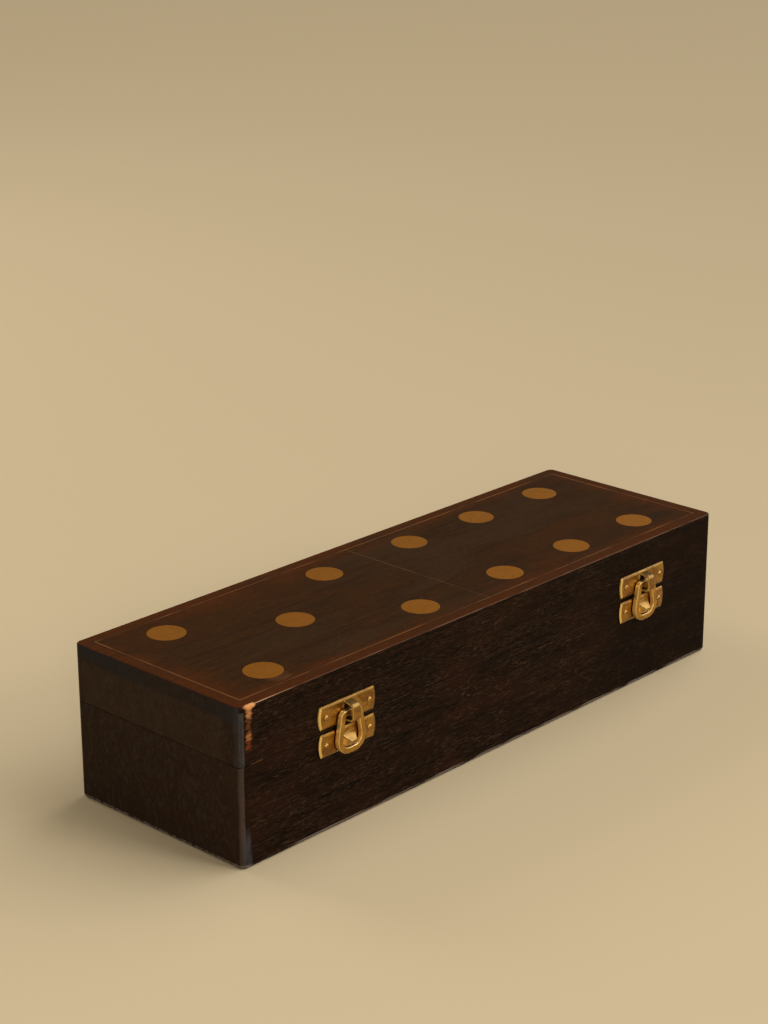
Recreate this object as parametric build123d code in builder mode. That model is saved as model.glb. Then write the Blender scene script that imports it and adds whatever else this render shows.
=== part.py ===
"""Domino storage box: a dark hardwood case shaped like one large domino.

The tray and the lid are mitred frames of thin boards under glued-on panels. The lid's top carries
flush brass discs and brass stringing as a 6-5 domino. Two butt hinges join the backs, and two bail
catches close the front: each bail hangs in a bridge on the lid and loops round a nose on the tray.

Millimetres. X runs along the box, -Y is the front with the catches, +Z is up. The origin is the
middle of the underside.
"""

import math
import os
from build123d import *

# --- the case ---
box_length = 300.0
box_width = 96.0
box_height = 68.0
lid_height = 25.0
wall = 8.0
top_thickness = 7.0
bottom_thickness = 6.0
corner_radius = 3.0
top_arris_radius = 0.8
bottom_arris_radius = 1.6
rim_chamfer = 0.2
rim_gap = 0.2

# --- fits ---
inlay_clearance = 0.04
glue_clearance = 0.05
running_clearance = 0.05
swing_clearance = 0.3

# --- brass inlay in the top ---
pip_diameter = 16.2
pip_depth = 1.2
pip_to_end_string = 26.6
pip_to_side_string = 14.0
five_side_shift = 0.8
string_inset = 6.0
string_width = 0.6
string_depth = 1.2

# --- butt hinges, and the bevels behind them that stop the lid ---
hinge_from_end = 55.0
hinge_length = 25.0
knuckle_count = 5
knuckle_radius = 2.1
knuckle_gap = 0.15
hinge_pin_radius = 1.0
hinge_inset = 0.5
leaf_thickness = 1.2
leaf_inner_margin = 0.5
leaf_screw_spacing = 15.0
lid_stop_angle = 102.0

# --- hinge screws ---
screw_shank_radius = 0.9
screw_head_radius = 1.7
screw_length = 9.0
screw_slot_width = 0.5
screw_slot_depth = 0.4

# --- catches, each a plate on the lid over a keeper plate on the tray ---
left_catch_from_end = 57.2
right_catch_from_end = 52.4
catch_rise = 0.8
plate_width = 30.0
plate_end_bulge = 1.0
plate_height = 9.8
plate_thickness = 1.0
plate_bevel_width = 0.9
plate_bevel_depth = 0.4
plate_gap = 2.1
bridge_width = 4.0
bridge_top_margin = 0.4
bridge_bottom_margin = 0.3
bridge_proud = 6.1
bridge_top_slope = 1.5
bridge_bottom_slope = 0.8
bridge_bend = 1.7
bridge_sheet = 0.8
nose_base_width = 7.6
nose_tip_width = 2.4
nose_height = 5.7
nose_top_margin = 2.5
nose_proud = 4.9
nose_tip_drop = 2.9
nose_lip_proud = 3.6
nose_lip_drop = 4.9
nose_sheet = 0.7
nose_edge_radius = 0.25

# --- bail, a flat-sided rod bent to a loop ---
bail_pivot_proud = 2.45
bail_pivot_height = 6.3
bail_rod_width = 2.1
bail_rod_depth = 2.3
bail_rod_chamfer = 0.35
bail_foot_width = 3.4
bail_bend_radius = 4.9
bail_drop = 9.9
bail_lean = 10.5
bail_shoulder_radius = 1.5
bail_pin_radius = 0.85
bail_pin_gap = 0.6
bail_pin_length = 2.7

# --- round-headed pins that hold the catch plates ---
nail_spacing = 24.4
nail_head_radius = 1.3
nail_head_height = 0.9
nail_shank_radius = 0.65
nail_length = 6.0

# --- worked out from the sizes above ---
tray_height = box_height - lid_height
inner_length = box_length - 2 * wall
inner_width = box_width - 2 * wall
tray_rim = tray_height - rim_gap / 2
lid_rim = tray_height + rim_gap / 2
lid_ceiling = box_height - top_thickness
front_face = -box_width / 2
back_face = box_width / 2
hinge_axis_y = back_face - hinge_inset
leaf_reach = wall - hinge_inset - leaf_inner_margin
barrel_clearance_radius = knuckle_radius + swing_clearance
leaf_screw_inset = (leaf_reach + barrel_clearance_radius) / 2
knuckle_pitch = hinge_length / knuckle_count
box_end = box_length / 2
hinge_places = {"left": hinge_from_end - box_end, "right": box_end - hinge_from_end}
catch_places = {"left": left_catch_from_end - box_end, "right": box_end - right_catch_from_end}
plate_reach = plate_gap / 2 + plate_height / 2
lid_plate_centre = catch_rise + plate_reach
tray_plate_centre = catch_rise - plate_reach
string_x = box_end - string_inset
string_y = box_width / 2 - string_inset
half_middle = string_x / 2
pip_column_pitch = half_middle - pip_to_end_string
pip_row = string_y - pip_to_side_string

os.makedirs("parts", exist_ok=True)


def save(piece, label):
    """Labels a finished piece and writes it under its node's name."""
    piece.part.label = label
    export_step(piece.part, f"parts/{label}.step")


def across_hinge(x):
    """A plane across the hinge pins, centred on them: its X points back, its Y is up."""
    return Plane(origin=(x, hinge_axis_y, tray_height), x_dir=(0, 1, 0), z_dir=(1, 0, 0))


def catch_plane(x, height):
    """A plane on the front face, looking out, at a height above the parting line."""
    return Plane(
        origin=(x, front_face, tray_height + height), x_dir=(1, 0, 0), z_dir=(0, -1, 0)
    )


def catch_section(x):
    """A plane across a catch: its own X stands out of the front, its Y is up."""
    return Plane(
        origin=(x, front_face, tray_height), x_dir=(0, -1, 0), z_dir=(-1, 0, 0)
    )


# ------------------------------------------------------------------ boards and panels


def mitred_frame(low, high, rim):
    """The four walls of the tray or the lid in one ring, with its rim's outer arris eased."""
    with BuildPart() as frame:
        with BuildSketch(Plane.XY.offset(low)):
            RectangleRounded(box_length, box_width, corner_radius)
            Rectangle(inner_length, inner_width, mode=Mode.SUBTRACT)
        extrude(amount=high - low)
        rim_face = frame.faces().sort_by(Axis.Z)[-1 if rim == high else 0]
        chamfer(rim_face.outer_wire().edges(), rim_chamfer)
    return frame


def mitre_outline(side):
    """Plan corners of one board: its outer face, then its inner face, cut at 45 degrees."""
    out_x, out_y = box_length / 2, box_width / 2
    in_x, in_y = inner_length / 2, inner_width / 2
    return {
        "front": [(-out_x, -out_y), (out_x, -out_y), (in_x, -in_y), (-in_x, -in_y)],
        "back": [(-out_x, out_y), (out_x, out_y), (in_x, in_y), (-in_x, in_y)],
        "left": [(-out_x, -out_y), (-out_x, out_y), (-in_x, in_y), (-in_x, -in_y)],
        "right": [(out_x, -out_y), (out_x, out_y), (in_x, in_y), (in_x, -in_y)],
    }[side]


def cut_board(frame, side):
    """One board of a frame, between its two mitres. The caller adds what is cut into it."""
    add(frame.part)
    with BuildSketch(Plane.XY) as outline:
        with BuildLine():
            Polyline(*mitre_outline(side), close=True)
        make_face()
    extrude(outline.sketch, amount=box_height, mode=Mode.INTERSECT)


def cut_stop_bevel(into_wood):
    """The bevel along the back of a rim. The lid's meets the tray's where the lid stops."""
    run = 2 * hinge_inset
    drop = run * math.tan(math.radians(lid_stop_angle / 2))
    with BuildSketch(across_hinge(0)) as wedge:
        with BuildLine():
            Polyline((0, 0), (run, into_wood * drop), (run, 0), close=True)
        make_face()
    extrude(wedge.sketch, amount=box_end, both=True, mode=Mode.SUBTRACT)


def cut_hinge_seats(rim, into_wood):
    """Leaf mortises, a groove for each barrel and the screw holes, in the back board's rim."""
    leaf_space = leaf_thickness + glue_clearance
    seat_length = hinge_length + 2 * glue_clearance
    for x in hinge_places.values():
        with BuildSketch(Plane(origin=(x, hinge_axis_y, rim))) as seat:
            Rectangle(
                seat_length,
                leaf_reach + glue_clearance,
                align=(Align.CENTER, Align.MAX),
            )
        extrude(seat.sketch, amount=into_wood * leaf_space, mode=Mode.SUBTRACT)
        with BuildSketch(across_hinge(x)) as groove:
            Circle(barrel_clearance_radius)
        groove_half = seat_length / 2 + swing_clearance
        extrude(groove.sketch, amount=groove_half, both=True, mode=Mode.SUBTRACT)
        with BuildSketch(Plane(origin=(x, hinge_axis_y - leaf_screw_inset, rim))) as holes:
            with GridLocations(leaf_screw_spacing, 0, 2, 1):
                Circle(screw_shank_radius + glue_clearance)
        hole_depth = screw_length + glue_clearance
        extrude(holes.sketch, amount=into_wood * hole_depth, mode=Mode.SUBTRACT)


def cut_nail_holes(centre_height):
    """Holes for the two pins of each catch plate, from the front face inwards."""
    depth = nail_length - plate_thickness + glue_clearance
    for x in catch_places.values():
        with BuildSketch(catch_plane(x, centre_height)) as holes:
            with GridLocations(nail_spacing, 0, 2, 1):
                Circle(nail_shank_radius + glue_clearance)
        extrude(holes.sketch, amount=-depth, mode=Mode.SUBTRACT)


tray_frame = mitred_frame(bottom_thickness, tray_rim, tray_rim)
lid_frame = mitred_frame(lid_rim, lid_ceiling, lid_rim)

for side in ("front", "back", "left", "right"):
    with BuildPart() as tray_board:
        cut_board(tray_frame, side)
        if side == "back":
            cut_stop_bevel(-1)
            cut_hinge_seats(tray_rim, -1)
        if side == "front":
            cut_nail_holes(tray_plate_centre)
    save(tray_board, f"tray_{side}_board")

    with BuildPart() as lid_board:
        cut_board(lid_frame, side)
        if side == "back":
            cut_stop_bevel(1)
            cut_hinge_seats(lid_rim, 1)
        if side == "front":
            cut_nail_holes(lid_plate_centre)
    save(lid_board, f"lid_{side}_board")

with BuildPart() as bottom_panel:
    with BuildSketch():
        RectangleRounded(box_length, box_width, corner_radius)
    extrude(amount=bottom_thickness)
    fillet(bottom_panel.faces().sort_by(Axis.Z)[0].edges(), bottom_arris_radius)
save(bottom_panel, "bottom_panel")


# ------------------------------------------------------------------ top panel and its inlay


def pip_centres(middle, columns, rows):
    """Centres of a block of pips around the middle of its half."""
    return [
        (middle + column * pip_column_pitch, row * pip_row)
        for column in columns
        for row in rows
    ]


six_pips = pip_centres(half_middle, (-1, 0, 1), (-1, 1))
five_middle = -half_middle - five_side_shift
five_pips = pip_centres(five_middle, (-1, 1), (-1, 1)) + pip_centres(five_middle, (0,), (0,))

# Each border string runs to the mitre at its corners; the centre one stops at the long pair.
string_half = string_width / 2
border_strings = {
    side: [
        (sx * (string_x + dx * string_half), sy * (string_y + dy * string_half))
        for sx, sy, dx, dy in corners
    ]
    for side, corners in {
        "front": [(-1, -1, 1, 1), (1, -1, 1, 1), (1, -1, -1, -1), (-1, -1, -1, -1)],
        "back": [(-1, 1, 1, 1), (1, 1, 1, 1), (1, 1, -1, -1), (-1, 1, -1, -1)],
        "left": [(-1, -1, 1, 1), (-1, 1, 1, 1), (-1, 1, -1, -1), (-1, -1, -1, -1)],
        "right": [(1, -1, 1, 1), (1, 1, 1, 1), (1, 1, -1, -1), (1, -1, -1, -1)],
    }.items()
}
centre_string_length = 2 * (string_y - string_half)
groove_width = string_width + 2 * inlay_clearance

with BuildPart() as top_panel:
    with BuildSketch(Plane.XY.offset(lid_ceiling)):
        RectangleRounded(box_length, box_width, corner_radius)
    extrude(amount=top_thickness)
    top_edges = top_panel.faces().sort_by(Axis.Z)[-1].edges()
    fillet(top_edges, top_arris_radius)
    with BuildSketch(Plane.XY.offset(box_height)):
        with Locations(*six_pips, *five_pips):
            Circle(pip_diameter / 2 + inlay_clearance)
    extrude(amount=-pip_depth - inlay_clearance, mode=Mode.SUBTRACT)
    with BuildSketch(Plane.XY.offset(box_height)):
        Rectangle(2 * string_x + groove_width, 2 * string_y + groove_width)
        Rectangle(
            2 * string_x - groove_width,
            2 * string_y - groove_width,
            mode=Mode.SUBTRACT,
        )
        Rectangle(groove_width, 2 * string_y)
    extrude(amount=-string_depth - inlay_clearance, mode=Mode.SUBTRACT)
save(top_panel, "lid_top_panel")

for half, centres in {"six": six_pips, "five": five_pips}.items():
    for number, centre in enumerate(centres, start=1):
        with BuildPart() as pip:
            with BuildSketch(Plane.XY.offset(box_height - pip_depth)):
                with Locations(centre):
                    Circle(pip_diameter / 2)
            extrude(amount=pip_depth)
        save(pip, f"{half}_side_pip_{number}")

for side, outline in border_strings.items():
    with BuildPart() as border_string:
        with BuildSketch(Plane.XY.offset(box_height - string_depth)):
            with BuildLine():
                Polyline(*outline, close=True)
            make_face()
        extrude(amount=string_depth)
    save(border_string, f"{side}_border_string")

with BuildPart() as centre_string:
    with BuildSketch(Plane.XY.offset(box_height - string_depth)):
        Rectangle(string_width, centre_string_length)
    extrude(amount=string_depth)
save(centre_string, "centre_string")


# ------------------------------------------------------------------ butt hinges


def hinge_leaf(x, up):
    """One leaf with its knuckles. up is 1 for the lid's leaf and -1 for the tray's."""
    own_knuckles = range(0 if up < 0 else 1, knuckle_count, 2)
    inner_face = up * rim_gap / 2
    first_edge = x - hinge_length / 2
    wood_side = (Align.MAX, Align.MIN if up > 0 else Align.MAX)
    with BuildPart() as leaf:
        with BuildSketch(across_hinge(first_edge)):
            with Locations((-barrel_clearance_radius, inner_face)):
                Rectangle(
                    leaf_reach - barrel_clearance_radius,
                    leaf_thickness,
                    align=wood_side,
                )
        extrude(amount=hinge_length)
        for number in own_knuckles:
            start = first_edge + number * knuckle_pitch
            trim_low = knuckle_gap / 2 if number > 0 else 0
            trim_high = knuckle_gap / 2 if number < knuckle_count - 1 else 0
            with BuildSketch(across_hinge(start + trim_low)):
                Circle(knuckle_radius)
                with Locations((0, inner_face)):
                    Rectangle(
                        barrel_clearance_radius + leaf_thickness,
                        leaf_thickness,
                        align=wood_side,
                    )
                Circle(hinge_pin_radius + running_clearance, mode=Mode.SUBTRACT)
            extrude(amount=knuckle_pitch - trim_low - trim_high)
        inner_plane = Plane(
            origin=(x, hinge_axis_y - leaf_screw_inset, tray_height + inner_face),
            x_dir=(1, 0, 0),
            z_dir=(0, 0, -up),
        )
        with Locations(inner_plane):
            with GridLocations(leaf_screw_spacing, 0, 2, 1):
                CounterSinkHole(
                    screw_shank_radius + glue_clearance,
                    screw_head_radius + glue_clearance,
                    leaf_thickness,
                )
    return leaf


def hinge_screws(x, up):
    """Two countersunk screws, their heads flush with the leaf's inner face."""
    head_depth = screw_head_radius - screw_shank_radius
    with BuildPart() as screws:
        for sign in (-1, 1):
            axis_plane = Plane(
                origin=(
                    x + sign * leaf_screw_spacing / 2,
                    hinge_axis_y - leaf_screw_inset,
                    tray_height + up * rim_gap / 2,
                ),
                x_dir=(1, 0, 0),
                z_dir=(0, -up, 0),
            )
            with BuildSketch(axis_plane):
                with BuildLine():
                    Polyline(
                        (0, 0),
                        (screw_head_radius, 0),
                        (screw_shank_radius, head_depth),
                        (screw_shank_radius, screw_length - screw_shank_radius),
                        (0, screw_length),
                        close=True,
                    )
                make_face()
            revolve(axis=Axis(axis_plane.origin, (0, 0, 1)))
            with BuildSketch(
                Plane(origin=axis_plane.origin, x_dir=(1, 0, 0), z_dir=(0, 0, up))
            ):
                Rectangle(screw_slot_width, 2 * screw_head_radius, rotation=35)
            extrude(amount=screw_slot_depth, mode=Mode.SUBTRACT)
    return screws


for hinge, x in hinge_places.items():
    save(hinge_leaf(x, -1), f"{hinge}_hinge_tray_leaf")
    save(hinge_leaf(x, 1), f"{hinge}_hinge_lid_leaf")
    with BuildPart() as hinge_pin:
        with BuildSketch(across_hinge(x)):
            Circle(hinge_pin_radius)
        extrude(amount=hinge_length / 2, both=True)
    save(hinge_pin, f"{hinge}_hinge_pin")
    save(hinge_screws(x, -1), f"{hinge}_hinge_tray_screws")
    save(hinge_screws(x, 1), f"{hinge}_hinge_lid_screws")


# ------------------------------------------------------------------ catches


def bowed_plate(x, centre_height):
    """A flat brass plate with bowed ends, bevelled front edges and two pin holes."""
    half_width, half_height = plate_width / 2, plate_height / 2
    with BuildSketch(catch_plane(x, centre_height)) as outline:
        with BuildLine():
            Line((-half_width, half_height), (half_width, half_height))
            ThreePointArc(
                (half_width, half_height),
                (half_width + plate_end_bulge, 0),
                (half_width, -half_height),
            )
            Line((half_width, -half_height), (-half_width, -half_height))
            ThreePointArc(
                (-half_width, -half_height),
                (-half_width - plate_end_bulge, 0),
                (-half_width, half_height),
            )
        make_face()
    sheet = extrude(outline.sketch, amount=plate_thickness)
    show_face = sheet.faces().sort_by(Axis.Y)[0]
    chamfer(show_face.edges(), plate_bevel_width, plate_bevel_depth, reference=show_face)
    with BuildSketch(catch_plane(x, centre_height)) as holes:
        with GridLocations(nail_spacing, 0, 2, 1):
            Circle(nail_shank_radius + glue_clearance)
    extrude(holes.sketch, amount=plate_thickness, mode=Mode.SUBTRACT)


def catch_plate(x):
    """The lid's plate: a bridge is lanced out of its middle for the bail's ends."""
    top = lid_plate_centre + plate_height / 2 - bridge_top_margin
    bottom = lid_plate_centre - plate_height / 2 + bridge_bottom_margin
    with BuildPart() as bridge:
        with BuildSketch(catch_section(x)) as outline:
            with BuildLine():
                Polyline(
                    (-2 * bridge_sheet, top),
                    (0, top),
                    (bridge_proud, top - bridge_top_slope),
                    (bridge_proud, bottom + bridge_bottom_slope),
                    (0, bottom),
                    (-2 * bridge_sheet, bottom),
                    close=True,
                )
            make_face()
            fillet(outline.vertices().group_by(Axis.X)[-1], bridge_bend)
            offset(amount=-bridge_sheet, mode=Mode.SUBTRACT)
        extrude(amount=bridge_width / 2, both=True)
        split(bisect_by=catch_plane(x, 0), keep=Keep.TOP)
    with BuildPart() as plate:
        bowed_plate(x, lid_plate_centre)
        with BuildSketch(catch_plane(x, 0)):
            with Locations((0, (top + bottom) / 2)):
                Rectangle(bridge_width, top - bottom - 2 * bridge_sheet)
        extrude(amount=plate_thickness, mode=Mode.SUBTRACT)
        add(bridge.part)
    return plate


def nose_block(x, shrink):
    """The nose's form: a side profile crossed with a plan that tapers to the tip."""
    top = tray_plate_centre + plate_height / 2 - nose_top_margin - shrink
    bottom = top - nose_height + 2 * shrink
    base = plate_thickness - shrink
    tip, lip = nose_proud - shrink, nose_lip_proud - shrink
    half_base = nose_base_width / 2 - shrink
    half_tip = max(nose_tip_width / 2 - shrink / 2, nose_tip_width / 8)
    with BuildPart() as block:
        with BuildSketch(catch_section(x)):
            with BuildLine():
                Polyline(
                    (0, top),
                    (base, top),
                    (tip, top - nose_tip_drop + shrink),
                    (lip, top - nose_lip_drop + 2 * shrink),
                    (base, bottom),
                    (0, bottom),
                    close=True,
                )
            make_face()
        extrude(amount=half_base, both=True)
        with BuildSketch(Plane(origin=(x, front_face, tray_height + top), x_dir=(1, 0, 0))):
            with BuildLine():
                Polyline(
                    (-half_base, 0),
                    (half_base, 0),
                    (half_base, -base),
                    (half_tip, -tip),
                    (-half_tip, -tip),
                    (-half_base, -base),
                    close=True,
                )
            make_face()
        extrude(amount=-(top - bottom), mode=Mode.INTERSECT)
    return block


def keeper_plate(x):
    """The tray's plate, with a hollow nose pressed out of it for the bail to hook under."""
    with BuildPart() as plate:
        bowed_plate(x, tray_plate_centre)
        add(nose_block(x, 0).part)
        proud_edges = plate.edges().filter_by(
            lambda edge: edge.center().Y < front_face - plate_thickness - nose_edge_radius
        )
        fillet(proud_edges, nose_edge_radius)
        add(nose_block(x, nose_sheet).part, mode=Mode.SUBTRACT)
    return plate


def bail(x):
    """The loop, drawn from the bottom middle up one side, mirrored, with round ends as pivots."""
    lean = math.radians(bail_lean)
    bend_centre = bail_bend_radius - bail_drop
    rise = bail_pivot_height - bend_centre
    straight = rise - bail_bend_radius * math.sin(lean)
    straight -= bail_shoulder_radius * (1 - math.sin(lean))
    straight /= math.cos(lean)
    pin_end = bail_pin_gap / 2
    pin_root = pin_end + bail_pin_length
    middle = Plane(
        origin=(x, front_face - bail_pivot_proud, tray_height),
        x_dir=(1, 0, 0),
        z_dir=(0, -1, 0),
    )
    with BuildPart() as loop:
        with BuildLine(middle) as half_path:
            foot = Line((0, -bail_drop), (bail_foot_width / 2, -bail_drop))
            bend = JernArc(foot @ 1, foot % 1, bail_bend_radius, 90 + bail_lean)
            arm = Line(bend @ 1, bend @ 1 + (bend % 1) * straight)
            shoulder = JernArc(
                arm @ 1, arm % 1, bail_shoulder_radius, 90 - bail_lean
            )
            Line(shoulder @ 1, middle.from_local_coords((pin_root, bail_pivot_height)))
        with BuildSketch(
            Plane(
                origin=middle.from_local_coords((0, -bail_drop)),
                x_dir=(0, -1, 0),
                z_dir=(1, 0, 0),
            )
        ) as rod:
            Rectangle(bail_rod_depth, bail_rod_width)
            chamfer(rod.vertices(), bail_rod_chamfer)
        sweep(path=half_path.wire())
        with BuildSketch(Plane.YZ.offset(x + pin_root)):
            with Locations(
                (front_face - bail_pivot_proud, tray_height + bail_pivot_height)
            ):
                Circle(bail_pin_radius)
        extrude(amount=-bail_pin_length)
        mirror(about=Plane.YZ.offset(x))
    return loop


def plate_nails(x, centre_height):
    """The two round-headed pins of one catch plate."""
    dome_radius = (nail_head_radius**2 + nail_head_height**2) / (2 * nail_head_height)
    with BuildPart() as nails:
        for sign in (-1, 1):
            seat = catch_plane(x + sign * nail_spacing / 2, centre_height)
            axis_plane = Plane(
                origin=seat.from_local_coords((0, 0, plate_thickness)),
                x_dir=(1, 0, 0),
                z_dir=(0, 0, 1),
            )
            with BuildSketch(axis_plane):
                with BuildLine():
                    RadiusArc((nail_head_radius, 0), (0, -nail_head_height), dome_radius)
                    Polyline(
                        (0, -nail_head_height),
                        (0, nail_length),
                        (nail_shank_radius, nail_length - nail_shank_radius),
                        (nail_shank_radius, 0),
                        (nail_head_radius, 0),
                    )
                make_face()
            revolve(axis=Axis(axis_plane.origin, (0, 1, 0)))
    return nails


for catch, x in catch_places.items():
    save(catch_plate(x), f"{catch}_catch_plate")
    save(keeper_plate(x), f"{catch}_keeper_plate")
    save(bail(x), f"{catch}_bail")
    save(plate_nails(x, lid_plate_centre), f"{catch}_catch_nails")
    save(plate_nails(x, tray_plate_centre), f"{catch}_keeper_nails")
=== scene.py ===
import math

import bpy
from mathutils import Matrix, Vector


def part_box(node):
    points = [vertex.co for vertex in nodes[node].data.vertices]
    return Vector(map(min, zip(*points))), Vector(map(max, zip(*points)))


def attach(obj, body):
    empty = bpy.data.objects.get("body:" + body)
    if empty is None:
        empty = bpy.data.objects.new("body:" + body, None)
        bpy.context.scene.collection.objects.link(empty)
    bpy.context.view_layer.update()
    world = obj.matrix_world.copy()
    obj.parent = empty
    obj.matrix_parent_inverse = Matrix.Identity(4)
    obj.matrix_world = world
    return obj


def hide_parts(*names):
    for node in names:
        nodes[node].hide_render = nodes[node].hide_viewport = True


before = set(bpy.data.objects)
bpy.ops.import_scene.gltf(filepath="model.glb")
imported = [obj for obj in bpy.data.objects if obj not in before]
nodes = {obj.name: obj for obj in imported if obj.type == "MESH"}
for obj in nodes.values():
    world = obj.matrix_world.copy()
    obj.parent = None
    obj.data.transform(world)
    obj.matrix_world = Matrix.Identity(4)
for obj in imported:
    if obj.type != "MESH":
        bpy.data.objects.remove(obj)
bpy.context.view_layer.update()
print("frame loaded:", len(nodes), "pieces")

# The case's own edges in millimetres, read from the frame, so every pattern keeps its place.
mmPerMetre = 1000
endX, sideY = (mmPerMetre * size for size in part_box("bottom_panel")[1][:2])
leftX, frontY = -endX, -sideY
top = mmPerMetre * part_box("lid_top_panel")[1][2]
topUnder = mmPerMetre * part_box("lid_top_panel")[0][2]
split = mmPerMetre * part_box("lid_front_board")[0][2]
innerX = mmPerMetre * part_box("tray_right_board")[0][0]
innerY = -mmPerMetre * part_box("tray_front_board")[1][1]


def hexColour(text):
    channels = [int(text[i : i + 2], 16) / 255 for i in (1, 3, 5)]
    return [c / 12.92 if c <= 0.04045 else ((c + 0.055) / 1.055) ** 2.4 for c in channels] + [1.0]


# Adds a node with its settings and links; a text value is a colour.
def add(tree, kind, sockets=None, out=0, **settings):
    node = tree.nodes.new("ShaderNode" + kind)
    for name, value in settings.items():
        setattr(node, name, value)
    for socket, value in (sockets or {}).items():
        if isinstance(value, bpy.types.NodeSocket):
            tree.links.new(value, node.inputs[socket])
        else:
            node.inputs[socket].default_value = hexColour(value) if isinstance(value, str) else value
    return node.outputs[out] if node.outputs else node


# A Mix of colours takes its factor at socket 0 and its colours at 6 and 7.
ofColours = {"out": 2, "data_type": "RGBA"}


def newMaterial(name):
    material = bpy.data.materials.new(name)
    material.use_nodes = True
    material.node_tree.nodes.clear()
    return material, material.node_tree


# A point's place on its object in millimetres.
def inMillimetres(tree):
    where = add(tree, "TexCoord", out="Object")
    return add(tree, "VectorMath", {0: where, "Scale": float(mmPerMetre)}, operation="SCALE")


# 1 from low to high, fading to 0 over soft outside them.
def between(tree, value, low, high, soft):
    rise = add(
        tree,
        "MapRange",
        {"Value": value, "From Min": low - soft, "From Max": low},
        interpolation_type="SMOOTHSTEP",
    )
    fall = add(
        tree,
        "MapRange",
        {"Value": value, "From Min": high + soft, "From Max": high},
        interpolation_type="SMOOTHSTEP",
    )
    return add(tree, "Math", {0: rise, 1: fall}, operation="MULTIPLY")


# Streaks along x of a set length and width in millimetres, as levels around 0.5.
def streaks(tree, grain, length, width, detail=3.0, wander=0.5, seed=0.0):
    drawn = add(
        tree,
        "VectorMath",
        {0: grain, 1: (1 / length, 1 / width, 1 / width)},
        operation="MULTIPLY",
    )
    sockets = {"Vector": drawn, "Scale": 1.0, "Detail": detail, "Distortion": wander, "W": seed}
    return add(tree, "TexNoise", sockets, noise_dimensions="4D")


# In both woods a size is a streak's length and width in millimetres, and a cut is the level of
# the streaks where a colour starts and the level where it is at its full amount.

# Sheesham stained near black and waxed by hand: matt, with open pores that catch a grey light.
sideWood = {
    "dark": "#0c0603",
    "light": "#23140a",
    "figureSize": (26.0, 1.1),
    "figureCut": (0.36, 0.64),
    "cloudSize": (45.0, 14.0),
    "brown": "#29140a",
    "brownAmount": 0.6,
    "brownCut": (0.5, 0.66),
    "end": "#35261b",
    "endAmount": 0.65,
    "pore": "#5a4230",
    "poreAmount": 0.58,
    "poreOnEnd": 0.22,
    "poreSize": (3.4, 0.36),
    "poreCut": (0.53, 0.69),
    "gatherSize": (16.0, 5.0),
    "gatherCut": (0.36, 0.6),
    "gatherLeast": 0.3,
    "speck": "#8a7461",
    "speckAmount": 0.7,
    "speckSpacing": 16.0,
    "speckRadius": (0.384, 0.192),
    "scuff": "#40372f",
    "scuffAmount": 0.5,
    "scuffSize": (7.5, 3.6),
    "scuffCut": (0.46, 0.68),
    "panelEdge": "#26282c",
    "panelEdgeAmount": (0.3, 0.8),
    "panelEdgeCut": (0.4, 0.6),
    "panelEdgeSpan": (topUnder + 2, top - 1, 4.5),
}

# The same wood on the lid's face with less stain, so it is redder near the rubbed edges.
topWood = {
    "dark": "#281508",
    "light": "#3d230b",
    "figureSize": (34.0, 1.5),
    "figureCut": (0.34, 0.66),
    "cloudSize": (70.0, 26.0),
    "warm": "#3e2008",
    "warmAmount": 0.75,
    "warmCut": (0.5, 0.62),
    "grey": "#3a2818",
    "greyAmount": 0.5,
    "greyCut": (0.48, 0.36),
    "red": "#522607",
    "redAmount": 0.8,
    "redInDark": 0.6,
    "redReach": (17.0, 1.0),
    "driftSize": (38.0, 13.0),
    "drift": 36.0,
    "pore": "#180d06",
    "poreAmount": 0.55,
    "poreSize": (3.6, 0.36),
    "poreCut": (0.55, 0.7),
    "glint": "#5e442d",
    "glintAmount": 0.3,
    "glintCut": (0.42, 0.3),
}

# Bare planed sheesham inside the two wells, from the well's floor to the lid's ceiling.
innerWood = {
    "dark": "#5a3720",
    "light": "#7d5433",
    "pore": "#3b2212",
    "spanX": (-innerX - 0.3, innerX + 0.3, 0.1),
    "spanY": (-innerY - 0.3, innerY + 0.3, 0.1),
    "spanZ": (4.0, topUnder + 0.3, 0.1),
}

# Hand-rubbed wax: nearly no gloss, and relief of under a tenth of a millimetre.
wax = {
    "rough": (0.42, 0.6),
    "roughCut": (0.3, 0.7),
    "gleam": 0.035,
    "relief": 0.08,
    "reliefStrength": 0.5,
}

# How far a face has to look sideways to be an end, and upward to be the lid's face.
facings = {"end": 0.7, "top": (0.55, 0.8)}

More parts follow.
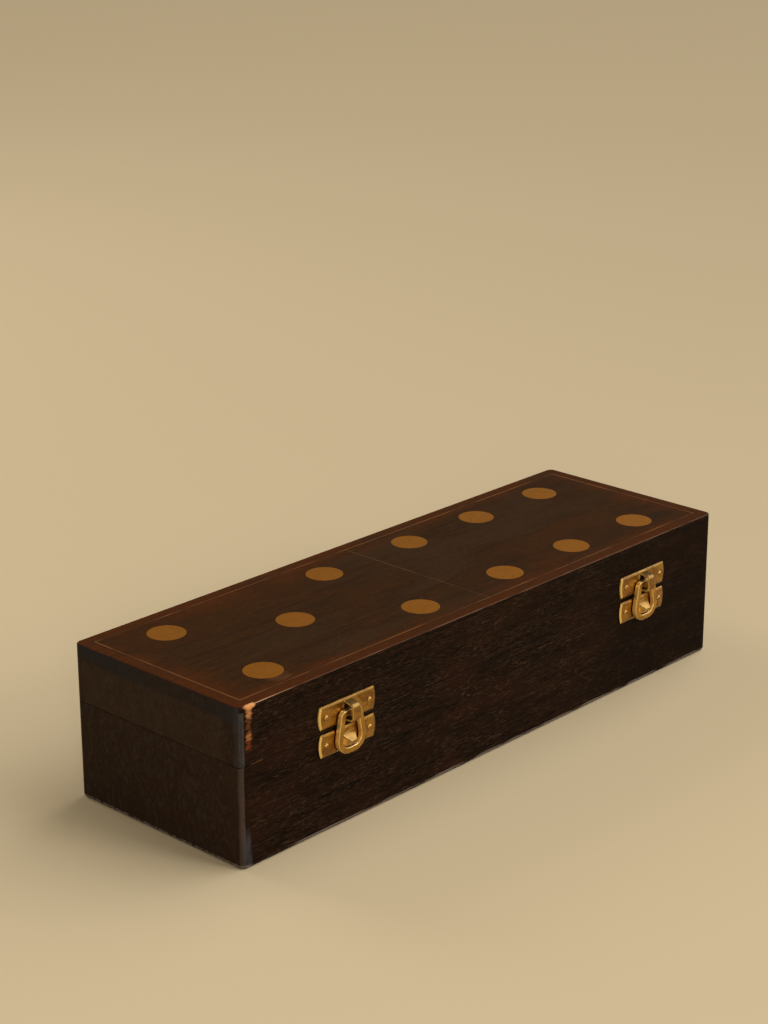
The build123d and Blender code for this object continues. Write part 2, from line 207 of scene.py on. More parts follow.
# Wear, wax and stain of this one box, and painted light: a painted highlight along the front top
# arris and a painted sheen along the left upright arris and on the lid's face. Each mark fills a
# block in millimetres: from, to and how far it thins out. Grit is the length and width of the tears
# in its edge, ragged how deep they go and fade how softly they end.
marks = {
    # The front face turns darker towards its right end.
    "deepStain": {
        "x": (105, endX + 1, 95),
        "y": (frontY - 1, frontY + 1.5, 0.5),
        "z": (-1, top - 1, 0.3),
        "colour": "#0d0603", "amount": 0.9, "grit": (34.0, 7.0), "ragged": 0.8, "fade": 0.8,
    },
    "endLidWax": {
        "x": (leftX - 1, leftX + 0.4, 0.4),
        "y": (frontY + 14, sideY - 6, 12),
        "z": (split, topUnder, 1.5),
        "colour": "#4c382b", "amount": 0.5, "grit": (9.0, 5.0), "ragged": 1.2, "fade": 1.2,
    },
    # Worn bare wood along the front top arris, lit up by a painted highlight on its rounded edge.
    "frontArris": {
        "x": (leftX, endX, 1),
        "y": (frontY - 1, frontY + 0.28, 0.14),
        "z": (top - 0.28, top + 1, 0.14),
        "colour": "#7c5a42", "amount": 0.85, "grit": (12.0, 3.0), "ragged": 2.4, "fade": 0.7,
    },
    # Near the left corner the same arris is brighter: more painted highlight on the worn wood.
    "frontArrisLeft": {
        "x": (leftX + 2, leftX + 8, 45),
        "y": (frontY - 1, frontY + 0.32, 0.16),
        "z": (top - 0.32, top + 1, 0.16),
        "colour": "#d29e78", "amount": 0.95, "grit": (8.0, 3.0), "ragged": 0.6, "fade": 0.6,
    },
    "rubbedArris": {
        "x": (leftX + 4.4, leftX + 7.0, 3.0),
        "y": (frontY - 1, frontY + 1, 0.4),
        "z": (top - 1.0, top + 1, 1.2),
        "colour": "#e6a46c", "amount": 0.95, "grit": (2.6, 0.8), "ragged": 1.1, "fade": 0.5,
    },
    "rubbedCorner": {
        "x": (leftX + 4.6, leftX + 5.2, 3.6),
        "y": (frontY - 1, frontY + 1, 0.2),
        "z": (top - 4.0, top, 4.0),
        "colour": "#dc9258", "amount": 0.95, "grit": (2.2, 0.9), "ragged": 1.5, "fade": 0.7,
    },
    "rubbedBelow": {
        "x": (leftX + 4.4, leftX + 4.9, 3.4),
        "y": (frontY - 1, frontY + 1, 0.2),
        "z": (top - 13.6, top - 12.6, 3.0),
        "colour": "#c47f46", "amount": 0.9, "grit": (2.2, 0.9), "ragged": 1.7, "fade": 0.8,
    },
    "rubbedBetween": {
        "x": (leftX + 4.5, leftX + 4.9, 2.6),
        "y": (frontY - 1, frontY + 1, 0.2),
        "z": (top - 12.5, top - 6, 2.0),
        "colour": "#7d4821", "amount": 0.85, "grit": (2.2, 0.8), "ragged": 3.4, "fade": 1.1,
    },
    "rubbedLow": {
        "x": (leftX + 4.0, leftX + 4.6, 2.8),
        "y": (frontY - 1, frontY + 1, 0.2),
        "z": (top - 18, top - 15, 2.5),
        "colour": "#7a3a16", "amount": 0.85, "grit": (2.2, 0.9), "ragged": 3.0, "fade": 0.9,
    },
    # These four marks are a painted sheen: light falling on the rounded upright arris at the left, shown
    # grey on the end and front faces of lid and tray.
    "waxEdgeLid": {
        "x": (leftX - 1, leftX + 0.4, 0.4),
        "y": (frontY - 1, frontY + 2.0, 4.4),
        "z": (split, top, 1),
        "colour": "#403f43", "amount": 0.85, "grit": (3.0, 14.0), "ragged": 0.9, "fade": 1.0,
    },
    "waxFrontLid": {
        "x": (leftX, leftX + 1.9, 0.9),
        "y": (frontY - 1, frontY + 1.0, 1.0),
        "z": (split, top - 3, 2),
        "colour": "#4b4747", "amount": 0.9, "grit": (2.0, 6.0), "ragged": 1.0, "fade": 0.6,
    },
    "waxEdgeTray": {
        "x": (leftX - 1, leftX + 0.4, 0.4),
        "y": (frontY - 1, frontY + 1.6, 1.2),
        "z": (0, split - 0.4, 0.5),
        "colour": "#4a3c33", "amount": 0.85, "grit": (2.6, 14.0), "ragged": 0.9, "fade": 0.6,
    },
    "waxFrontTray": {
        "x": (leftX, leftX + 1.6, 0.8),
        "y": (frontY - 1, frontY + 1.0, 1.0),
        "z": (0, split - 0.4, 0.5),
        "colour": "#4f4339", "amount": 0.9, "grit": (2.0, 9.0), "ragged": 1.0, "fade": 0.6,
    },
    # The same painted sheen near the foot of that arris.
    "waxFoot": {
        "x": (leftX + 2.0, leftX + 3.0, 4.6),
        "y": (frontY - 1, frontY + 0.5, 0.5),
        "z": (0, 6, 30),
        "colour": "#464548", "amount": 1.0, "grit": (3.0, 7.0), "ragged": 1.2, "fade": 0.9,
    },
    "footArris": {
        "x": (leftX - 1, endX + 1, 1),
        "y": (frontY - 1, sideY + 1, 1),
        "z": (0.7, 1.6, 0.4),
        "colour": "#7c7066", "amount": 0.7, "grit": (14.0, 2.0), "ragged": 4.6, "fade": 0.6,
    },
    "splitScratch": {
        "x": (leftX + 6.4, leftX + 10.5, 3.4),
        "y": (frontY - 1, frontY + 1, 0.3),
        "z": (split, split + 0.3, 0.2),
        "colour": "#9c6434", "amount": 0.9, "grit": (2.4, 1.5), "ragged": 1.6, "fade": 0.9,
    },
    # A greasy smear on the lid's face, shown as a painted sheen.
    "topSmear": {
        "x": (-120.5, -116, 7),
        "y": (-38.5, -36.5, 4),
        "z": (top - 0.3, top + 1, 0.2),
        "colour": "#6e4e36", "amount": 0.6, "grit": (6.0, 2.0), "ragged": 1.8, "fade": 1.2,
    },
}


# Lays every mark over the wood. A name's length is the seed of that mark's tears.
def addMarks(tree, colour, mm, axes):
    for name, mark in marks.items():
        zone = 1.0
        for axis in "xyz":
            slab = between(tree, axes[axis], *mark[axis])
            zone = add(tree, "Math", {0: zone, 1: slab}, operation="MULTIPLY")
        grit = streaks(tree, mm, *mark["grit"], detail=4.0, wander=0.3, seed=len(name))
        grit = add(tree, "Math", {0: grit, 1: 0.5}, operation="SUBTRACT")
        torn = add(tree, "Math", {0: grit, 1: mark["ragged"], 2: zone}, operation="MULTIPLY_ADD")
        torn = add(
            tree,
            "MapRange",
            {"Value": torn, "From Min": 0.5, "From Max": 0.5 + mark["fade"], "To Max": mark["amount"]},
        )
        inside = add(tree, "Math", {0: zone, 1: 0.0}, operation="GREATER_THAN")
        cover = add(tree, "Math", {0: inside, 1: torn}, operation="MULTIPLY")
        colour = add(tree, "Mix", {0: cover, 6: colour, 7: mark["colour"]}, **ofColours)
    return colour


def sideColour(tree, grain, onEnd, axes):
    figure = streaks(tree, grain, *sideWood["figureSize"], detail=4.0, wander=0.8)
    low, high = sideWood["figureCut"]
    tone = add(tree, "MapRange", {"Value": figure, "From Min": low, "From Max": high})
    colour = add(tree, "Mix", {0: tone, 6: sideWood["dark"], 7: sideWood["light"]}, **ofColours)
    cloud = streaks(tree, grain, *sideWood["cloudSize"], seed=3.0)
    low, high = sideWood["brownCut"]
    brown = add(
        tree,
        "MapRange",
        {"Value": cloud, "From Min": low, "From Max": high, "To Max": sideWood["brownAmount"]},
    )
    colour = add(tree, "Mix", {0: brown, 6: colour, 7: sideWood["brown"]}, **ofColours)
    # The end faces are a paler brown than the long faces.
    endTone = add(tree, "Math", {0: onEnd, 1: sideWood["endAmount"]}, operation="MULTIPLY")
    colour = add(tree, "Mix", {0: endTone, 6: colour, 7: sideWood["end"]}, **ofColours)

    # Pores gather in places, and the ends show fewer.
    dashes = streaks(tree, grain, *sideWood["poreSize"], detail=2.5, wander=0.9, seed=7.0)
    low, high = sideWood["poreCut"]
    pores = add(tree, "MapRange", {"Value": dashes, "From Min": low, "From Max": high})
    gather = streaks(tree, grain, *sideWood["gatherSize"], detail=2.0, seed=11.0)
    low, high = sideWood["gatherCut"]
    often = add(
        tree,
        "MapRange",
        {"Value": gather, "From Min": low, "From Max": high, "To Min": sideWood["gatherLeast"]},
    )
    amounts = {"To Min": sideWood["poreAmount"], "To Max": sideWood["poreOnEnd"]}
    shown = add(tree, "MapRange", {"Value": onEnd, **amounts})
    pores = add(tree, "Math", {0: pores, 1: often}, operation="MULTIPLY")
    pores = add(tree, "Math", {0: pores, 1: shown}, operation="MULTIPLY")
    colour = add(tree, "Mix", {0: pores, 6: colour, 7: sideWood["pore"]}, **ofColours)
    spacing = sideWood["speckSpacing"]
    cells = add(tree, "TexVoronoi", {"Vector": grain, "Scale": 1 / spacing}, out="Distance")
    low, high = (radius / spacing for radius in sideWood["speckRadius"])
    specks = add(
        tree,
        "MapRange",
        {"Value": cells, "From Min": low, "From Max": high, "To Max": sideWood["speckAmount"]},
    )
    colour = add(tree, "Mix", {0: specks, 6: colour, 7: sideWood["speck"]}, **ofColours)

    # Hands have scuffed the ends upright, and wax has settled on the top panel's own edge there.
    upright = add(tree, "CombineXYZ", {0: axes["z"], 1: axes["y"], 2: axes["x"]})
    scuffs = streaks(tree, upright, *sideWood["scuffSize"], detail=8.0, wander=2.4, seed=41.0)
    low, high = sideWood["scuffCut"]
    scuffs = add(
        tree,
        "MapRange",
        {"Value": scuffs, "From Min": low, "From Max": high, "To Max": sideWood["scuffAmount"]},
    )
    scuffs = add(tree, "Math", {0: scuffs, 1: onEnd}, operation="MULTIPLY")
    colour = add(tree, "Mix", {0: scuffs, 6: colour, 7: sideWood["scuff"]}, **ofColours)
    low, high = sideWood["panelEdgeCut"]
    least, most = sideWood["panelEdgeAmount"]
    overlay = add(
        tree,
        "MapRange",
        {"Value": cloud, "From Min": low, "From Max": high, "To Min": least, "To Max": most},
    )
    panelEdge = between(tree, axes["z"], *sideWood["panelEdgeSpan"])
    panelEdge = add(tree, "Math", {0: panelEdge, 1: onEnd}, operation="MULTIPLY")
    panelEdge = add(tree, "Math", {0: panelEdge, 1: overlay}, operation="MULTIPLY")
    colour = add(tree, "Mix", {0: panelEdge, 6: colour, 7: sideWood["panelEdge"]}, **ofColours)
    return colour, figure, pores


def topColour(tree, grain, axes):
    figure = streaks(tree, grain, *topWood["figureSize"], detail=5.0, wander=1.0, seed=20.0)
    low, high = topWood["figureCut"]
    tone = add(tree, "MapRange", {"Value": figure, "From Min": low, "From Max": high})
    colour = add(tree, "Mix", {0: tone, 6: topWood["dark"], 7: topWood["light"]}, **ofColours)
    cloud = streaks(tree, grain, *topWood["cloudSize"], detail=4.0, wander=0.8, seed=31.0)
    for tint in ("warm", "grey"):
        low, high = topWood[tint + "Cut"]
        amount = topWood[tint + "Amount"]
        patch = add(
            tree, "MapRange", {"Value": cloud, "From Min": low, "From Max": high, "To Max": amount}
        )
        colour = add(tree, "Mix", {0: patch, 6: colour, 7: topWood[tint]}, **ofColours)

    # The red follows the nearest edge at a distance that drifts, and is weaker in dark figure.
    awayX = add(tree, "Math", {0: axes["x"]}, operation="ABSOLUTE")
    awayY = add(tree, "Math", {0: axes["y"]}, operation="ABSOLUTE")
    inX = add(tree, "Math", {0: endX, 1: awayX}, operation="SUBTRACT")
    inY = add(tree, "Math", {0: sideY, 1: awayY}, operation="SUBTRACT")
    inward = add(tree, "Math", {0: inX, 1: inY}, operation="MINIMUM")
    drift = streaks(tree, grain, *topWood["driftSize"], wander=0.6, seed=24.0)
    wide = topWood["drift"]
    drift = add(tree, "Math", {0: drift, 1: wide, 2: -wide / 2}, operation="MULTIPLY_ADD")
    reach = add(tree, "Math", {0: inward, 1: drift}, operation="ADD")
    far, near = topWood["redReach"]
    edge = add(
        tree,
        "MapRange",
        {"Value": reach, "From Min": far, "From Max": near, "To Max": topWood["redAmount"]},
        interpolation_type="SMOOTHSTEP",
    )
    shade = add(tree, "MapRange", {"Value": tone, "To Min": topWood["redInDark"]})
    edge = add(tree, "Math", {0: edge, 1: shade}, operation="MULTIPLY")
    colour = add(tree, "Mix", {0: edge, 6: colour, 7: topWood["red"]}, **ofColours)

    # Pores are dark here, and the wood between them glints.
    dashes = streaks(tree, grain, *topWood["poreSize"], detail=2.5, seed=27.0)
    flecks = {}
    for fleck in ("pore", "glint"):
        low, high = topWood[fleck + "Cut"]
        amount = topWood[fleck + "Amount"]
        flecks[fleck] = add(
            tree, "MapRange", {"Value": dashes, "From Min": low, "From Max": high, "To Max": amount}
        )
        colour = add(tree, "Mix", {0: flecks[fleck], 6: colour, 7: topWood[fleck]}, **ofColours)
    return colour, figure, flecks["pore"]


def woodMaterial(name, withTop=False):
    material, tree = newMaterial(name)
    mm = inMillimetres(tree)
    axes = {axis: add(tree, "SeparateXYZ", {0: mm}, out=i) for i, axis in enumerate("xyz")}
    facing = add(tree, "TexCoord", out="Normal")
    sideways = add(tree, "Math", {0: add(tree, "SeparateXYZ", {0: facing})}, operation="ABSOLUTE")
    onEnd = add(tree, "Math", {0: sideways, 1: facings["end"]}, operation="GREATER_THAN")

    # The end boards' grain runs along y.
    turned = add(tree, "CombineXYZ", {0: axes["y"], 1: axes["x"], 2: axes["z"]})
    grain = add(tree, "Mix", {0: onEnd, 4: mm, 5: turned}, out=1, data_type="VECTOR")
    colour, figure, pores = sideColour(tree, grain, onEnd, axes)
    if withTop:
        upward = add(tree, "SeparateXYZ", {0: facing}, out=2)
        low, high = facings["top"]
        isTop = add(tree, "MapRange", {"Value": upward, "From Min": low, "From Max": high})
        upColour, upFigure, upPores = topColour(tree, mm, axes)
        colour = add(tree, "Mix", {0: isTop, 6: colour, 7: upColour}, **ofColours)
        figure = add(tree, "Mix", {0: isTop, 2: figure, 3: upFigure})
        pores = add(tree, "Mix", {0: isTop, 2: pores, 3: upPores})
    colour = addMarks(tree, colour, mm, axes)

    # Inside the wells the wood is bare.
    wellX, wellY, wellZ = (
        between(tree, axes[axis], *innerWood["span" + axis.upper()]) for axis in "xyz"
    )
    well = add(tree, "Math", {0: wellX, 1: wellY}, operation="MULTIPLY")
    well = add(tree, "Math", {0: well, 1: wellZ}, operation="MULTIPLY")
    bare = add(tree, "Mix", {0: figure, 6: innerWood["dark"], 7: innerWood["light"]}, **ofColours)
    bare = add(tree, "Mix", {0: pores, 6: bare, 7: innerWood["pore"]}, **ofColours)
    colour = add(tree, "Mix", {0: well, 6: colour, 7: bare}, **ofColours)
    low, high = wax["roughCut"]
    smooth, rough = wax["rough"]
    gloss = add(
        tree,
        "MapRange",
        {"Value": figure, "From Min": low, "From Max": high, "To Min": smooth, "To Max": rough},
    )
    height = add(tree, "Math", {0: figure, 1: pores}, operation="SUBTRACT")
    depth = {"Strength": wax["reliefStrength"], "Distance": wax["relief"] / mmPerMetre}
    shader = add(
        tree,
        "BsdfPrincipled",
        {
            "Base Color": colour,
            "Roughness": gloss,
            "Normal": add(tree, "Bump", {"Height": height, **depth}),
            "Specular IOR Level": wax["gleam"],
        },
    )
    add(tree, "OutputMaterial", {"Surface": shader})
    return material


finishes = {
    "waxedSheeshamSides": woodMaterial("waxedSheeshamSides"),
    "waxedSheeshamTop": woodMaterial("waxedSheeshamTop", withTop=True),
}
print("wood done")

# Brass in eight finishes, and steel in one. Each goes from bright to dull in patches of handling,
# whose length and width are in millimetres, as is the radius of its rounded edges.
metals = {
    # Pressed sheet under amber lacquer: golden, its rolled edges a little paler from rubbing and a painted
    # highlight.
    "lacqueredPressedBrass": {
        "bright": "#ac7e2e", "dull": "#845818", "patches": (6.0, 4.0), "rough": (0.28, 0.42),
        "rubAndSheen": "#dcb46c", "rubAndSheenAmount": 0.3, "coat": 0.3, "edge": 0.5,
    },
    # The same sheet pressed into the keeper's nose, with painted shade on its upward faces and a painted
    # highlight on its left-facing ones.
    "pressedNoseBrass": {
        "bright": "#ac7e2e", "dull": "#845818", "patches": (6.0, 4.0), "rough": (0.28, 0.42),
        "rubAndSheen": "#dcb46c", "rubAndSheenAmount": 0.3, "coat": 0.3, "edge": 0.5,
        "upShade": "#6e5a34", "upShadeAmount": 0.25, "leftGleam": "#fad27a", "leftGleamFrom": -0.6,
    },
    # The same sheet pressed into the catch's hood, whose bend is drawn smooth; painted shade on its upward
    # faces and a painted highlight on its left-facing ones.
    "pressedHoodBrass": {
        "bright": "#ac7e2e", "dull": "#845818", "patches": (6.0, 4.0), "rough": (0.3, 0.42),
        "rubAndSheen": "#dcb46c", "rubAndSheenAmount": 0.2, "coat": 0.3, "edge": 1.1,
        "upShade": "#84683a", "upShadeAmount": 0.6, "leftGleam": "#fad27a", "leftGleamFrom": -1.0,
    },
    # The bails' rod: handled most, so its lacquer has gone and it is satin; its sides and left-facing
    # faces are painted pale, a painted highlight on top of the rubbing.
    "handledRodBrass": {
        "bright": "#c49444", "dull": "#a87a34", "patches": (4.0, 4.0), "rough": (0.34, 0.46),
        "rubAndSheen": "#ffe6a8", "rubAndSheenAmount": 1.0, "edge": 0.7,
        "leftGleam": "#fad27a", "leftGleamFrom": -1.0,
    },
    # Drawn tube and leaf, wiped with the same lacquer: duller gold with soft edges, the edges painted
    # paler by rubbing and a painted highlight, with painted shade on what faces up.
    "drawnHingeBrass": {
        "bright": "#b89458", "dull": "#94703e", "patches": (8.0, 5.0), "rough": (0.28, 0.42),
        "rubAndSheen": "#cca870", "rubAndSheenAmount": 0.5, "coat": 0.2, "edge": 0.15,
        "upShade": "#6e5a34", "upShadeAmount": 0.3,
    },
    # Discs rubbed flat with the lid: satin amber, without a sharp light.
    "rubbedInlayBrass": {
        "bright": "#b07010", "dull": "#a4680e", "patches": (9.0, 6.0), "rough": (0.42, 0.5),
    },
    # Thin strip that the stain has half hidden.
    "stainedStringBrass": {
        "bright": "#a86c3c", "dull": "#56341c", "patches": (30.0, 30.0), "rough": (0.4, 0.5),
    },
    # The centre strip lies lower, and is a darker copy of the same brass: painted shade.
    "shadedStringBrass": {
        "bright": "#74492a", "dull": "#4e3020", "patches": (20.0, 30.0), "rough": (0.42, 0.5),
    },
    # Plain steel wire: grey, with a long soft light.
    "drawnSteelPin": {
        "bright": "#a0a09e", "dull": "#7d7c79", "patches": (6.0, 2.0), "rough": (0.3, 0.4),
    },
}

# What the metals share. A cut or a facing is the level where a change starts and where it is full.
handling = {
    "dullCut": (0.42, 0.6),
    "roughCut": (0.35, 0.65),
    "edgeFacing": (0.97, 0.8),
    "upShadeFacing": (0.2, 0.5),
    "leftGleamTo": -0.4,
    "leftGleamSoft": 0.25,
    "leftGleamAmount": 0.9,
    "leftGleamMetallic": 0.65,
    "coatRough": 0.12,
}


def metalMaterial(name):
    metal = metals[name]
    material, tree = newMaterial(name)
    mm = inMillimetres(tree)
    handled = streaks(tree, mm, *metal["patches"], detail=4.0, wander=0.8, seed=2.0)
    low, high = handling["dullCut"]
    dulled = add(tree, "MapRange", {"Value": handled, "From Min": low, "From Max": high})
    colour = add(tree, "Mix", {0: dulled, 6: metal["bright"], 7: metal["dull"]}, **ofColours)
    facing = add(tree, "TexCoord", out="Normal")
    across, outward, upward = (add(tree, "SeparateXYZ", {0: facing}, out=i) for i in range(3))
    if "rubAndSheen" in metal:
        # What doesn't face straight out of the front is an edge, and edges are painted bright: rubbing and
        # a painted highlight.
        outward = add(tree, "Math", {0: outward}, operation="ABSOLUTE")
        low, high = handling["edgeFacing"]
        atEdge = add(
            tree,
            "MapRange",
            {"Value": outward, "From Min": low, "From Max": high, "To Max": metal["rubAndSheenAmount"]},
        )
        colour = add(tree, "Mix", {0: atEdge, 6: colour, 7: metal["rubAndSheen"]}, **ofColours)
    if "upShade" in metal:
        # Painted shade on what faces up, dimming the light that it mirrors from above.
        low, high = handling["upShadeFacing"]
        overlay = add(
            tree,
            "MapRange",
            {"Value": upward, "From Min": low, "From Max": high, "To Max": metal["upShadeAmount"]},
        )
        colour = add(tree, "Mix", {0: overlay, 6: colour, 7: metal["upShade"]}, **ofColours)
    metallic = 1.0
    if "leftGleam" in metal:
        # Faces that look left get a painted highlight, paler and less metallic.
        turned = metal["leftGleamFrom"], handling["leftGleamTo"], handling["leftGleamSoft"]
        leftLit = between(tree, across, *turned)
        amount = handling["leftGleamAmount"]
        leftLit = add(tree, "Math", {0: leftLit, 1: amount}, operation="MULTIPLY")
        colour = add(tree, "Mix", {0: leftLit, 6: colour, 7: metal["leftGleam"]}, **ofColours)
        least = handling["leftGleamMetallic"]
        metallic = add(tree, "MapRange", {"Value": leftLit, "To Min": 1.0, "To Max": least})
    low, high = handling["roughCut"]
    smooth, rough = metal["rough"]
    gloss = add(
        tree,
        "MapRange",
        {"Value": handled, "From Min": low, "From Max": high, "To Min": smooth, "To Max": rough},
    )
    sockets = {"Base Color": colour, "Metallic": metallic, "Roughness": gloss}
    if "coat" in metal:
        sockets.update({"Coat Weight": metal["coat"], "Coat Roughness": handling["coatRough"]})
    if "edge" in metal:
        sockets["Normal"] = add(tree, "Bevel", {"Radius": metal["edge"] / mmPerMetre}, samples=4)
    add(tree, "OutputMaterial", {"Surface": add(tree, "BsdfPrincipled", sockets)})
    return material


finishes.update({name: metalMaterial(name) for name in metals})

# Each piece takes the finish of the first of these that is part of its name.
finishOf = {
    "lid_top_panel": "waxedSheeshamTop",
    "bottom_panel": "waxedSheeshamSides",
    "_board": "waxedSheeshamSides",
    "_pip_": "rubbedInlayBrass",
    "centre_string": "shadedStringBrass",
    "_string": "stainedStringBrass",
    "hinge_pin": "drawnSteelPin",
    "_hinge_": "drawnHingeBrass",
    "_catch_plate": "pressedHoodBrass",
    "_keeper_plate": "pressedNoseBrass",
    "_nails": "lacqueredPressedBrass",
    "_bail": "handledRodBrass",
}
for name, node in nodes.items():
    finish = next(finish for part, finish in finishOf.items() if part in name)
    node.data.materials.clear()
    node.data.materials.append(finishes[finish])
print("metal done")

# The bail in millimetres: square brass rod with worn corners, bent in one plane. Its arms lean
# apart by some degrees from the pins to the wide bends at the foot.
bail = {
    "rod": (2.2, 2.4),
    "worn": 0.3,
    "foot": 3.4,
    "bend": 4.9,
    "lean": 10.5,
    "shoulder": 1.5,
    "pinGap": 0.6,
    "bendSteps": 14,
    "wornSteps": 6,
    "wideBends": (2, 3),
}


# Rounds the corners of an open path and runs the rod's section along it.
def bailTree():
    tree = bpy.data.node_groups.new("bentRod", "GeometryNodeTree")
    tree.interface.new_socket("Path", in_out="INPUT", socket_type="NodeSocketGeometry")
    for name in ("Rod Width", "Rod Depth", "Worn Corner", "Bend Radius", "Shoulder Radius"):
        tree.interface.new_socket(name, in_out="INPUT", socket_type="NodeSocketFloat")
    tree.interface.new_socket("Finish", in_out="INPUT", socket_type="NodeSocketMaterial")
    tree.interface.new_socket("Rod", in_out="OUTPUT", socket_type="NodeSocketGeometry")
    kinds = {
        "given": "NodeGroupInput", "index": "GeometryNodeInputIndex", "below": "FunctionNodeCompare",
        "above": "FunctionNodeCompare", "low": "FunctionNodeBooleanMath", "bend": "GeometryNodeSwitch",
        "path": "GeometryNodeFilletCurve", "section": "GeometryNodeCurvePrimitiveQuadrilateral",
        "rounded": "GeometryNodeFilletCurve", "rod": "GeometryNodeCurveToMesh",
        "smooth": "GeometryNodeSetShadeSmooth", "real": "GeometryNodeRealizeInstances",
        "finish": "GeometryNodeSetMaterial", "made": "NodeGroupOutput",
    }
    made = {name: tree.nodes.new(kind) for name, kind in kinds.items()}

    # A Compare of whole numbers has its two sides at sockets 2 and 3.
    first, last = bail["wideBends"]
    for name, operation, limit in (("above", "GREATER_EQUAL", first), ("below", "LESS_EQUAL", last)):
        made[name].data_type = "INT"
        made[name].operation = operation
        made[name].inputs[3].default_value = limit
    made["bend"].input_type = "FLOAT"
    for name, steps in (("path", bail["bendSteps"]), ("rounded", bail["wornSteps"])):
        made[name].mode = "POLY"
        made[name].inputs["Count"].default_value = steps
        made[name].inputs["Limit Radius"].default_value = True
    made["rod"].inputs["Fill Caps"].default_value = True
    for source, output, target, socket in (
        ("index", 0, "above", 2), ("index", 0, "below", 2), ("above", 0, "low", 0), ("below", 0, "low", 1),
        ("low", 0, "bend", "Switch"), ("given", "Shoulder Radius", "bend", "False"),
        ("given", "Bend Radius", "bend", "True"), ("given", "Path", "path", "Curve"),
        ("bend", 0, "path", "Radius"), ("given", "Rod Width", "section", "Width"),
        ("given", "Rod Depth", "section", "Height"), ("section", 0, "rounded", "Curve"),
        ("given", "Worn Corner", "rounded", "Radius"), ("path", 0, "rod", "Curve"),
        ("rounded", 0, "rod", "Profile Curve"), ("rod", 0, "smooth", 0), ("smooth", 0, "real", 0),
        ("real", 0, "finish", 0), ("given", "Finish", "finish", "Material"), ("finish", 0, "made", 0),
    ):
        tree.links.new(made[source].outputs[output], made[target].inputs[socket])
    return tree


# Bends one bail where its CAD node is, and makes it a plain mesh that stands for that node.
def bendBail(tree, node):
    low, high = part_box(node)
    width, depth = bail["rod"]
    lean = math.radians(bail["lean"])
    middle, out = (mmPerMetre * (near + far) / 2 for near, far in zip(low[:2], high[:2]))
    bottom, pivot = mmPerMetre * low.z + width / 2, mmPerMetre * high.z - width / 2
    corner = bail["foot"] / 2 + bail["bend"] * math.tan((math.pi / 2 + lean) / 2)
    shoulder = corner - (pivot - bottom) * math.tan(lean)
    half = [(bail["pinGap"] / 2, pivot), (shoulder, pivot), (corner, bottom)]
    path = bpy.data.curves.new(node + "Path", "CURVE")
    path.dimensions = "3D"
    line = path.splines.new("POLY")
    points = half + [(-across, height) for across, height in reversed(half)]
    line.points.add(len(points) - 1)
    for point, (across, height) in zip(line.points, points):
        point.co = [size / mmPerMetre for size in (middle + across, out, height)] + [1.0]
    bent = bpy.data.objects.new(node + "Path", path)
    bpy.context.scene.collection.objects.link(bent)
    modifier = bent.modifiers.new("rod", "NODES")
    modifier.node_group = tree
    sizes = {
        "Rod Width": width, "Rod Depth": depth, "Worn Corner": bail["worn"],
        "Bend Radius": bail["bend"], "Shoulder Radius": bail["shoulder"],
    }
    values = {name: size / mmPerMetre for name, size in sizes.items()}
    values["Finish"] = finishes["handledRodBrass"]
    for item in tree.interface.items_tree:
        if item.name in values:
            modifier[item.identifier] = values[item.name]
    rod = bpy.data.meshes.new_from_object(bent.evaluated_get(bpy.context.evaluated_depsgraph_get()))
    bpy.data.objects.remove(bent)
    bpy.data.curves.remove(path)
    piece = bpy.data.objects.new(node + "Rod", rod)
    bpy.context.scene.collection.objects.link(piece)
    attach(piece, node)
    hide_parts(node)


rodTree = bailTree()
for node in ("left_bail", "right_bail"):
    bendBail(rodTree, node)
print("bails done")

# The photograph's viewpoint in metres and its lens in millimetres, solved from the box's corners.
view = {
    "place": (-0.69517, -0.63502, 0.42779),
    "look": (0.68717, 0.64592, -0.33255),
    "right": (0.68413, -0.72936, -0.00299),
    "lens": 82.24,
    "filmHeight": 36.0,
    "nearest": 0.01,
}


def addCamera():
    camera = bpy.data.cameras.new("camera")
    camera.lens = view["lens"]
    camera.sensor_fit = "VERTICAL"
    camera.sensor_height = view["filmHeight"]
    camera.clip_start = view["nearest"]
    rig = bpy.data.objects.new("camera", camera)
    look = Vector(view["look"]).normalized()
    right = Vector(view["right"])
    right = (right - look * right.dot(look)).normalized()
    turn = Matrix((right, right.cross(look), -look)).transposed().to_4x4()
    rig.matrix_world = Matrix.Translation(view["place"]) @ turn
    bpy.context.scene.collection.objects.link(rig)
    bpy.context.scene.camera = rig


addCamera()
print("camera done")

# A pale matt paper floor, one soft key from the right and a few softboxes for the brass, in metres.
studio = {
    "floor": "#d9c5a0",
    "floorRough": 0.8,
    "floorGleam": 0.2,
    "floorHalf": 8.0,
    "sky": "#cdbd9c",
    "skyLight": 0.3,
    "skyGleam": 0.5,
    "key": {"place": (0.9, -0.42, 1.0), "strength": 2.0, "angle": 75.0},
    "boxes": {
        "front": {"place": (0.3, -1.3, 0.8), "size": 0.4, "power": 4.0},
        "left": {"place": (-1.15, -1.15, 0.62), "size": 0.35, "power": 6.0},
        "back": {"place": (-0.2, 1.3, 0.9), "size": 0.6, "power": 4.0},
    },
}


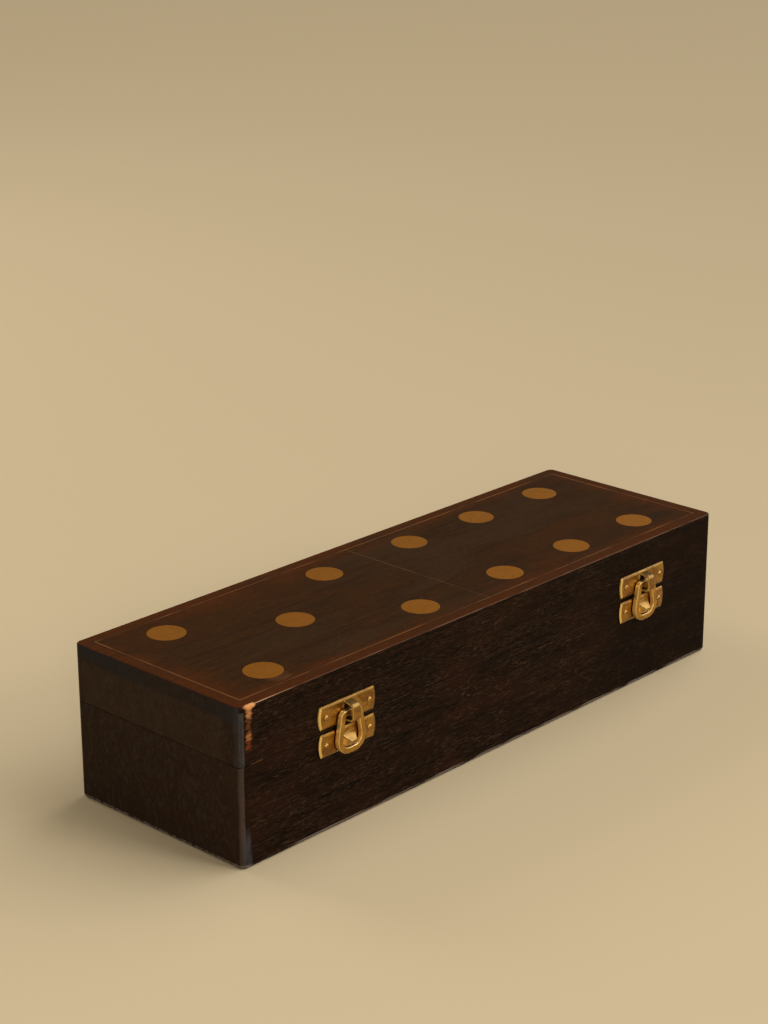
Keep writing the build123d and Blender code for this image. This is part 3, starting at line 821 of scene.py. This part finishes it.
# The sky shows at full strength, is mirrored at half of it and lights the box at less than a third.
def addSky():
    world = bpy.data.worlds.new("studio")
    bpy.context.scene.world = world
    world.use_nodes = True
    tree = world.node_tree
    tree.nodes.clear()
    seen = add(tree, "LightPath", out="Is Camera Ray")
    mirrored = add(tree, "LightPath", out="Is Glossy Ray")
    gleam = add(tree, "Math", {0: mirrored, 1: studio["skyGleam"]}, operation="MULTIPLY")
    level = add(tree, "Math", {0: studio["skyLight"], 1: gleam}, operation="MAXIMUM")
    level = add(tree, "Math", {0: level, 1: seen}, operation="MAXIMUM")
    sky = add(tree, "Background", {"Color": studio["sky"], "Strength": level})
    add(tree, "OutputWorld", {"Surface": sky})


def addFloor():
    half = studio["floorHalf"]
    paper = bpy.data.meshes.new("floor")
    corners = [(-half, -half, 0), (half, -half, 0), (half, half, 0), (-half, half, 0)]
    paper.from_pydata(corners, [], [(0, 1, 2, 3)])
    floor = bpy.data.objects.new("floor", paper)
    bpy.context.scene.collection.objects.link(floor)
    material, tree = newMaterial("mattPaper")
    sockets = {
        "Base Color": studio["floor"],
        "Roughness": studio["floorRough"],
        "Specular IOR Level": studio["floorGleam"],
    }
    add(tree, "OutputMaterial", {"Surface": add(tree, "BsdfPrincipled", sockets)})
    paper.materials.append(material)


# Every lamp aims at the middle of the box, where the lid meets the tray.
def addLamps():
    lamps = {"key": studio["key"], **studio["boxes"]}
    for name, lamp in lamps.items():
        light = bpy.data.lights.new(name, "SUN" if name == "key" else "AREA")
        if name == "key":
            light.energy = lamp["strength"]
            light.angle = math.radians(lamp["angle"])
        else:
            light.energy = lamp["power"]
            light.size = lamp["size"]
        holder = bpy.data.objects.new(name, light)
        bpy.context.scene.collection.objects.link(holder)
        aim = Vector((0, 0, split / mmPerMetre)) - Vector(lamp["place"])
        holder.location = lamp["place"]
        holder.rotation_euler = aim.to_track_quat("-Z", "Y").to_euler()


bpy.context.scene.view_settings.view_transform = "Standard"
addSky()
addFloor()
addLamps()
print("studio done")
